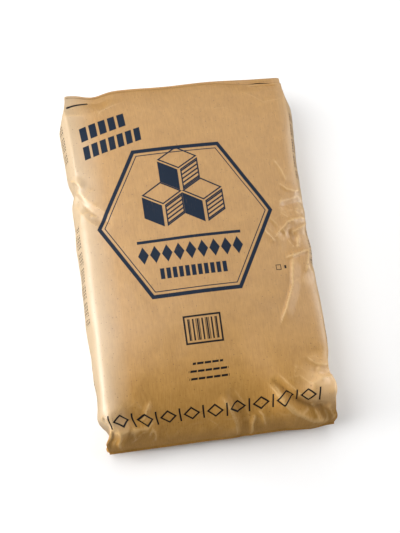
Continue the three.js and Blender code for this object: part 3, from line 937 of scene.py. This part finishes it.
def badge_shape(tree, place):
    """The badge on the front: a hexagon, three drawn sugar cubes and rows of plain ornament."""
    x, y = seen_from(tree, place, *BADGE)
    edge = hexagon(tree, x, y, BADGE_HALF_HIGH)
    shapes = [outline(tree, edge, *BADGE_RIM), outline(tree, edge, *BADGE_INNER_RIM)]
    cube = cube_group()
    aside = CUBE * COS_30
    for across, up in ((-aside, CUBES_UP), (aside, CUBES_UP), (0, CUBES_UP + CUBE_STEP * CUBE)):
        cube_x = calc(tree, "SUBTRACT", x, across)
        cube_y = calc(tree, "SUBTRACT", y, up)
        shapes.append(use_group(tree, cube, X=cube_x, Y=cube_y)["Shape"])
    shapes.append(box(tree, x, calc(tree, "ADD", y, BADGE_BAR_DOWN), *BADGE_BAR_SIZE))
    row = lozenges(tree, x, calc(tree, "ADD", y, BADGE_LOZENGES_DOWN), *BADGE_LOZENGE)
    shapes.append(both(tree, row, strip(tree, x, BADGE_LOZENGES_WIDE)))
    shapes.append(block_row(tree, place, *BADGE_BLOCKS))
    return either(tree, *shapes)


# The short bar at the upper left: its middle, its turn in degrees and its size
SHORT_BAR = (-0.168, 0.282, 12)
SHORT_BAR_SIZE = (0.037, 0.0040)


def short_bar(tree, place):
    x, y = seen_from(tree, place, *SHORT_BAR)
    return box(tree, x, y, *SHORT_BAR_SIZE)


# The framed box of stripes: its middle, size and line, and two sets of stripes as pitch and width
FRAMED_BOX = (-0.016, -0.142)
FRAMED_BOX_SIZE = (0.063, 0.047)
FRAMED_BOX_LINE = 0.0030
STRIPED_SIZE = (0.050, 0.035)
BROAD_STRIPES = (0.0078, 0.0026)
NARROW_STRIPES = (0.0053, 0.0011)


def framed_stripes(tree, place):
    """A box of upright stripes of two widths, with a frame round it."""
    x, y = seen_from(tree, place, *FRAMED_BOX)
    bars = either(tree, stripes(tree, x, *BROAD_STRIPES), stripes(tree, x, *NARROW_STRIPES))
    bars = both(tree, box(tree, x, y, *STRIPED_SIZE), bars)
    return either(tree, inner_line(tree, box(tree, x, y, *FRAMED_BOX_SIZE), FRAMED_BOX_LINE), bars)


# Three dashed lines under the box: places up from the front's middle, with their widths
DASHED_LINES = ((-0.196, 0.050), (-0.208, 0.066), (-0.220, 0.066))
DASHED_LINES_ACROSS = -0.016
DASHED_LINE_HIGH = 0.0036
DASH_LEAN = 0.2
DASH_PITCH = 0.0125
DASH_WIDE = 0.0108


def dashed_lines(tree, place):
    lines = []
    for up, wide in DASHED_LINES:
        middle = (DASHED_LINES_ACROSS, up)
        size = (wide, DASHED_LINE_HIGH)
        lines.append(block_row(tree, place, middle, size, 0, DASH_LEAN, DASH_PITCH, DASH_WIDE))
    return either(tree, *lines)


# The ornament across the foot: its middle, its width, and the pitch, height and line of its pieces
ORNAMENT = (-0.012, -0.276)
ORNAMENT_WIDE = 0.3484
ORNAMENT_PITCH = 0.0384
ORNAMENT_HIGH = 0.024
ORNAMENT_LINE = 0.0028
LOZENGE_WIDE = 0.028


def foot_ornament(tree, place):
    """A row of open lozenges with a post between each two."""
    x, y = seen_from(tree, place, *ORNAMENT)
    row = lozenges(tree, x, y, ORNAMENT_PITCH, LOZENGE_WIDE, ORNAMENT_HIGH)
    between = calc(tree, "ADD", x, ORNAMENT_PITCH / 2)
    posts = stripes(tree, between, ORNAMENT_PITCH, ORNAMENT_LINE)
    posts = both(tree, posts, strip(tree, y, ORNAMENT_HIGH))
    pieces = either(tree, inner_line(tree, row, ORNAMENT_LINE), posts)
    return both(tree, pieces, strip(tree, x, ORNAMENT_WIDE))


# The small mark at the right: an open square and a filled box beside it
SQUARE = (0.126, -0.055)
SQUARE_SIZE = (0.008, 0.008)
SQUARE_LINE = 0.0012
SMALL_BOX = (0.138, -0.055)
SMALL_BOX_SIZE = (0.0035, 0.0055)


def small_mark(tree, place):
    x, y = seen_from(tree, place, *SQUARE)
    square = outline(tree, box(tree, x, y, *SQUARE_SIZE), SQUARE_LINE)
    x, y = seen_from(tree, place, *SMALL_BOX)
    return either(tree, square, box(tree, x, y, *SMALL_BOX_SIZE))


# Blocks of dashes on the gussets: place across and along the paper, width and height
GUSSET_BLOCKS = [
    (0.209, 0.165, 0.030, 0.120), (0.209, -0.020, 0.030, 0.060), (0.209, -0.205, 0.030, 0.100),
    (-0.226, 0.215, 0.030, 0.070), (-0.226, -0.020, 0.030, 0.170), (-0.250, -0.200, 0.030, 0.060),
]
# Pitch and width of their lines, of the dashes in a line and of the groups of dashes
GUSSET_LINES = (0.0088, 0.0038)
GUSSET_DASHES = (0.0054, 0.0036)
GUSSET_GROUPS = (0.0290, 0.0240)


def gusset_marks(tree, place):
    """Blocks of short dashes that run along both gussets."""
    blocks = []
    for across, along, wide, high in GUSSET_BLOCKS:
        x, y = seen_from(tree, place, across, along)
        lines = stripes(tree, x, *GUSSET_LINES)
        dashes = both(tree, stripes(tree, y, *GUSSET_DASHES), stripes(tree, y, *GUSSET_GROUPS))
        blocks.append(both(tree, box(tree, x, y, wide, high), lines, dashes))
    return either(tree, *blocks)


# How softly the ink ends
INK_EDGE = 0.0006


def inked(tree, shape):
    """1 inside a shape and 0 outside it, with a slightly soft edge."""
    return calc(tree, "MULTIPLY_ADD", shape, -1 / INK_EDGE, 0.5, clamp=True)


def print_group():
    """The generic print on the paper, in the paper's own lengths: navy ink and black ink."""
    group, taken, given = new_group(
        "generic_print",
        {"Paper": "NodeSocketVector"},
        {"Navy": "NodeSocketFloat", "Black": "NodeSocketFloat"},
    )
    place = taken["Paper"]
    upper_row = block_row(group, place, *UPPER_BLOCKS)
    lower_row = block_row(group, place, *LOWER_BLOCKS)
    navy = either(group, badge_shape(group, place), upper_row, lower_row)
    black = either(
        group,
        short_bar(group, place),
        framed_stripes(group, place),
        dashed_lines(group, place),
        foot_ornament(group, place),
        small_mark(group, place),
        gusset_marks(group, place),
    )
    feed(group, given["Navy"], inked(group, navy))
    feed(group, given["Black"], inked(group, black))
    return group


def noise(tree, place, scale, detail, stretch=(1, 1)):
    """Even noise on the paper, in waves per metre, from 0 to 1."""
    spread = tree.nodes.new("ShaderNodeMapping")
    feed(tree, spread.inputs["Vector"], place)
    spread.inputs["Scale"].default_value = (scale * stretch[0], scale * stretch[1], 1)
    node = tree.nodes.new("ShaderNodeTexNoise")
    node.noise_dimensions = "2D"
    node.inputs["Scale"].default_value = 1
    node.inputs["Detail"].default_value = detail
    tree.links.new(spread.outputs["Vector"], node.inputs["Vector"])
    return node.outputs[0]


# The paper's noises: waves per metre, detail, and how far each is drawn out
FIBRES = (620, 3, (1, 0.07))
CLOUD = (38, 4)
TOOTH = (900, 2)
GRAIN = (210, 3, (1, 0.5))
SPECKS = (340, 0)
# Their shares of the tone and of the relief, and how much of the specks' noise shows
FIBRE_SHARE = 0.42
CLOUD_SHARE = 0.30
GRAIN_SHARE = 0.28
TOOTH_SHARE = 0.5
SPECK_GAIN = 22
SPECK_START = -18.2


def paper_group():
    """Kraft paper: long fibres along the bag, cloudy tone, a few dark specks and a fine tooth."""
    group, taken, given = new_group(
        "kraft_fibres",
        {"Paper": "NodeSocketVector"},
        {"Tone": "NodeSocketFloat", "Specks": "NodeSocketFloat", "Height": "NodeSocketFloat"},
    )
    place = taken["Paper"]
    fibres = noise(group, place, *FIBRES)
    tone = calc(group, "MULTIPLY", noise(group, place, *CLOUD), CLOUD_SHARE)
    tone = calc(group, "MULTIPLY_ADD", fibres, FIBRE_SHARE, tone)
    tone = calc(group, "MULTIPLY_ADD", noise(group, place, *GRAIN), GRAIN_SHARE, tone)
    specks = calc(group, "MULTIPLY_ADD", noise(group, place, *SPECKS), SPECK_GAIN, SPECK_START, clamp=True)
    height = calc(group, "MULTIPLY_ADD", noise(group, place, *TOOTH), TOOTH_SHARE, fibres)
    feed(group, given["Tone"], tone)
    feed(group, given["Specks"], specks)
    feed(group, given["Height"], height)
    return group


# The bare paper runs from dark to light by its tone, stretched by a gain and a start
KRAFT_DARK = (0.325, 0.160, 0.032, 1)
KRAFT_LIGHT = (0.450, 0.238, 0.056, 1)
TONE_GAIN = 2.4
TONE_START = -0.7
# The sides are painted paler as a sheen from near the front's creases outwards, further in on the left
# side. The foot's own end is not, and its right corner is painted a lighter tan as light falling on it.
KRAFT_PAINTED_SHEEN = (0.440, 0.342, 0.222, 1)
PAINTED_SHEEN_SHARE = 0.78
PAINTED_SHEEN_MIDDLE = 0.015
PAINTED_SHEEN_FROM = 0.157
PAINTED_SHEEN_FULLY = 0.211
PAINTED_SHEEN_DOWN_TO = (-0.310, -0.282)
# Painted light on the foot's right corner: its colour, share, middle, and the distances where it starts
# and where it is full
KRAFT_PAINTED_LIGHT = (0.720, 0.460, 0.215, 1)
PAINTED_LIGHT_SHARE = 0.60
PAINTED_LIGHT_CORNER = (0.180, -0.258)
PAINTED_LIGHT_FROM = 0.062
PAINTED_LIGHT_FULLY = 0.0155
# Sharp creases are lighter, partly from wear and partly as a painted highlight, and a few fibres are dark
KRAFT_WORN_AND_HIGHLIT = (0.580, 0.370, 0.150, 1)
WEAR_AND_HIGHLIGHT_SHARE = 0.65
SPECK = (0.120, 0.060, 0.020, 1)
SPECK_SHARE = 0.6
# The front under the folded strip, painted near black as the shadow in the gap under it
KRAFT_PAINTED_GAP_SHADE = (0.040, 0.018, 0.006, 1)
# The front turns from smooth to dull down to its foot
SMOOTH_DOWN_TO = (-0.300, -0.130)
# The ink covers a little less where the paper's tone is light
NAVY_INK = (0.004, 0.012, 0.028, 1)
BLACK_INK = (0.004, 0.004, 0.006, 1)
INK_COVER = 1.17
COVER_BY_TONE = -0.30
# The surface: matt paper with a weak sheen, and ink that is smoother and has almost no sheen
ROUGHNESS = 0.65
INK_ROUGHNESS = 0.50
INK_COAT = 0.04
COAT_ROUGHNESS = 0.50
COAT_IOR = 1.75
SPECULAR = 0.15
RELIEF = 0.0004
RELIEF_STRENGTH = 0.35


def rise(tree, value, start, end):
    """A straight rise from 0 at the start to 1 at the end."""
    span = end - start
    return calc(tree, "MULTIPLY_ADD", value, 1 / span, -start / span, clamp=True)


def painted_light_and_smooth_masks(tree, paper):
    """Where the sides are painted pale as a sheen, where the foot's right corner is painted lighter as
    light on it, and where the paper is still smooth.
    """
    across, along = seen_from(tree, paper, PAINTED_SHEEN_MIDDLE, 0)
    sides = rise(tree, calc(tree, "ABSOLUTE", across), PAINTED_SHEEN_FROM, PAINTED_SHEEN_FULLY)
    painted_sheen = calc(tree, "MULTIPLY", sides, rise(tree, along, *PAINTED_SHEEN_DOWN_TO))
    x, y = seen_from(tree, paper, *PAINTED_LIGHT_CORNER)
    distance = calc(tree, "SQRT", calc(tree, "MULTIPLY_ADD", x, x, calc(tree, "MULTIPLY", y, y)))
    painted_light = rise(tree, distance, PAINTED_LIGHT_FROM, PAINTED_LIGHT_FULLY)
    pale = calc(tree, "MAXIMUM", painted_sheen, painted_light)
    return painted_sheen, painted_light, calc(tree, "MAXIMUM", rise(tree, along, *SMOOTH_DOWN_TO), pale)


def painted(tree, name):
    """The value that each point of a sheet was painted with, under this name."""
    node = tree.nodes.new("ShaderNodeAttribute")
    node.attribute_name = name
    return node.outputs["Fac"]


def part_blend(tree, mask, share, under, over):
    """Lays a colour over another one with this share of a mask."""
    return blend_colour(tree, calc(tree, "MULTIPLY", mask, share), under, over)


def kraft_colour(tree, fibres, painted_sheen, painted_light):
    """The bare paper, with painted sheen on its sides, painted light on its foot's right corner, raised
    creases lighter from wear and painted highlight, its dark specks, and the painted shadow under the
    strip.
    """
    tone = calc(tree, "MULTIPLY_ADD", fibres["Tone"], TONE_GAIN, TONE_START, clamp=True)
    colour = blend_colour(tree, tone, KRAFT_DARK, KRAFT_LIGHT)
    # Painted sheen on the sides
    colour = part_blend(tree, painted_sheen, PAINTED_SHEEN_SHARE, colour, KRAFT_PAINTED_SHEEN)
    # Painted light on the foot's right corner
    colour = part_blend(tree, painted_light, PAINTED_LIGHT_SHARE, colour, KRAFT_PAINTED_LIGHT)
    # Raised creases lighter, from wear and painted highlight
    colour = part_blend(tree, painted(tree, "crease"), WEAR_AND_HIGHLIGHT_SHARE, colour, KRAFT_WORN_AND_HIGHLIT)
    colour = part_blend(tree, fibres["Specks"], SPECK_SHARE, colour, SPECK)
    # The front under the strip painted dark as the shadow in its gap
    return blend_colour(tree, painted(tree, "gap_shade"), colour, KRAFT_PAINTED_GAP_SHADE)


def kraft_material():
    material, tree, surface = new_material("kraft_paper")
    paper = tree.nodes.new("ShaderNodeUVMap").outputs["UV"]
    fibres = use_group(tree, paper_group(), Paper=paper)
    ink = use_group(tree, print_group(), Paper=paper)
    # Masks of the painted sheen on the sides, the painted light on the foot's right corner and the smooth
    # coat
    painted_sheen, painted_light, smooth = painted_light_and_smooth_masks(tree, paper)
    cover = calc(tree, "MULTIPLY_ADD", fibres["Tone"], COVER_BY_TONE, INK_COVER, clamp=True)
    navy = calc(tree, "MULTIPLY", ink["Navy"], cover)
    black = calc(tree, "MULTIPLY", ink["Black"], cover)
    any_ink = calc(tree, "MAXIMUM", navy, black)

    colour = kraft_colour(tree, fibres, painted_sheen, painted_light)
    colour = blend_colour(tree, navy, colour, NAVY_INK)
    colour = blend_colour(tree, black, colour, BLACK_INK)
    feed(tree, surface.inputs["Base Color"], colour)
    roughness = calc(tree, "MULTIPLY_ADD", any_ink, INK_ROUGHNESS - ROUGHNESS, ROUGHNESS)
    feed(tree, surface.inputs["Roughness"], roughness)
    coat = calc(tree, "MULTIPLY_ADD", any_ink, INK_COAT - 1, 1.0)
    feed(tree, surface.inputs["Coat Weight"], calc(tree, "MULTIPLY", coat, smooth))
    surface.inputs["Coat Roughness"].default_value = COAT_ROUGHNESS
    surface.inputs["Coat IOR"].default_value = COAT_IOR
    surface.inputs["Specular IOR Level"].default_value = SPECULAR
    bump = tree.nodes.new("ShaderNodeBump")
    bump.inputs["Strength"].default_value = RELIEF_STRENGTH
    bump.inputs["Distance"].default_value = RELIEF
    feed(tree, bump.inputs["Height"], fibres["Height"])
    feed(tree, surface.inputs["Normal"], bump.outputs["Normal"])
    return material


skin, skin_across, skin_along, skin_wear_and_highlight, skin_gap_shade = paper_grid()
frame_shift = shift_to_frame(skin)
bag = make_bag(skin + np.array(frame_shift), skin_across, skin_along, skin_wear_and_highlight, skin_gap_shade)
lip_strip = make_lip_strip(frame_shift)
kraft = kraft_material()
for piece in (bag, lip_strip):
    piece.data.materials.append(kraft)
    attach(piece, "root")
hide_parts("bag")

# The floor, the light and the camera

FLOOR_SIZE = 6.0
FLOOR_WHITE = (0.9, 0.9, 0.9, 1)
FLOOR_ROUGHNESS = 0.9
# An even, faint light from all round
AIR_COLOUR = (1, 1, 1, 1)
AIR_LIGHT = 0.01


def make_floor():
    bpy.ops.object.select_all(action="DESELECT")
    bpy.ops.mesh.primitive_plane_add(size=FLOOR_SIZE, location=(0, 0, 0))
    floor = bpy.context.object
    floor.name = "studio_floor"
    material, _, surface = new_material("studio_white")
    surface.inputs["Base Color"].default_value = FLOOR_WHITE
    surface.inputs["Roughness"].default_value = FLOOR_ROUGHNESS
    floor.data.materials.append(material)
    floor.visible_glossy = False


def make_world():
    world = bpy.data.worlds.new("studio_air")
    bpy.context.scene.world = world
    world.use_nodes = True
    background = world.node_tree.nodes["Background"]
    background.inputs["Color"].default_value = AIR_COLOUR
    background.inputs["Strength"].default_value = AIR_LIGHT


LAMP_DISTANCE = 2.2
LAMP_SIZE = 1.2
# Soft boxes round the bag: name, azimuth and elevation in degrees, and power
LAMPS = [
    ("left_low_light", 180, 12, 71),
    ("left_high_light", 180, 60, 24.5),
    ("right_low_light", 0, 12, 28),
    ("front_right_low_light", 315, 12, 11),
    ("back_right_low_light", 45, 12, 9),
    ("back_right_high_light", 45, 60, 9),
    ("back_left_high_light", 135, 60, 8),
    ("right_light", 0, 35, 6),
    ("back_light", 90, 35, 9),
]


def make_lamp(name, azimuth, elevation, power):
    lamp = bpy.data.lights.new(name, "AREA")
    lamp.energy = power
    lamp.size = LAMP_SIZE
    holder = bpy.data.objects.new(name, lamp)
    bpy.context.scene.collection.objects.link(holder)
    level = math.cos(elevation)
    towards = Vector((math.cos(azimuth) * level, math.sin(azimuth) * level, math.sin(elevation)))
    holder.location = towards * LAMP_DISTANCE
    holder.rotation_euler = towards.to_track_quat("Z", "Y").to_euler()


# The camera looks down on the bag from its lower left, as fitted to the photograph
CAMERA_TARGET = Vector((0, 0, 0.060))
CAMERA_DISTANCE = 1.8
CAMERA_AZIMUTH = math.radians(-23.8)
CAMERA_ELEVATION = math.radians(71.2)
CAMERA_ROLL = math.radians(16.1)
IMAGE_WIDTH = 400
IMAGE_HEIGHT = 533
FOCAL_PIXELS = 1063.0
TARGET_PIXEL = (197.1, 258.2)
SENSOR = 36.0


def make_camera():
    azimuth, elevation = CAMERA_AZIMUTH, CAMERA_ELEVATION
    back = Vector((
        math.sin(azimuth) * math.cos(elevation),
        -math.cos(azimuth) * math.cos(elevation),
        math.sin(elevation),
    ))
    level = Vector((math.cos(azimuth), math.sin(azimuth), 0))
    upright = back.cross(level)
    right = math.cos(CAMERA_ROLL) * level + math.sin(CAMERA_ROLL) * upright
    up = math.cos(CAMERA_ROLL) * upright - math.sin(CAMERA_ROLL) * level
    camera = bpy.data.cameras.new("photo_camera")
    camera.sensor_width = SENSOR
    camera.lens = FOCAL_PIXELS / IMAGE_HEIGHT * SENSOR
    camera.shift_x = (IMAGE_WIDTH / 2 - TARGET_PIXEL[0]) / IMAGE_HEIGHT
    camera.shift_y = (TARGET_PIXEL[1] - IMAGE_HEIGHT / 2) / IMAGE_HEIGHT
    holder = bpy.data.objects.new("photo_camera", camera)
    bpy.context.scene.collection.objects.link(holder)
    place = Matrix((right, up, back)).transposed().to_4x4()
    place.translation = CAMERA_TARGET + back * CAMERA_DISTANCE
    holder.matrix_world = place
    bpy.context.scene.camera = holder


make_floor()
make_world()
for name, azimuth, elevation, power in LAMPS:
    make_lamp(name, math.radians(azimuth), math.radians(elevation), power)
make_camera()
bpy.context.scene.view_settings.view_transform = "Standard"
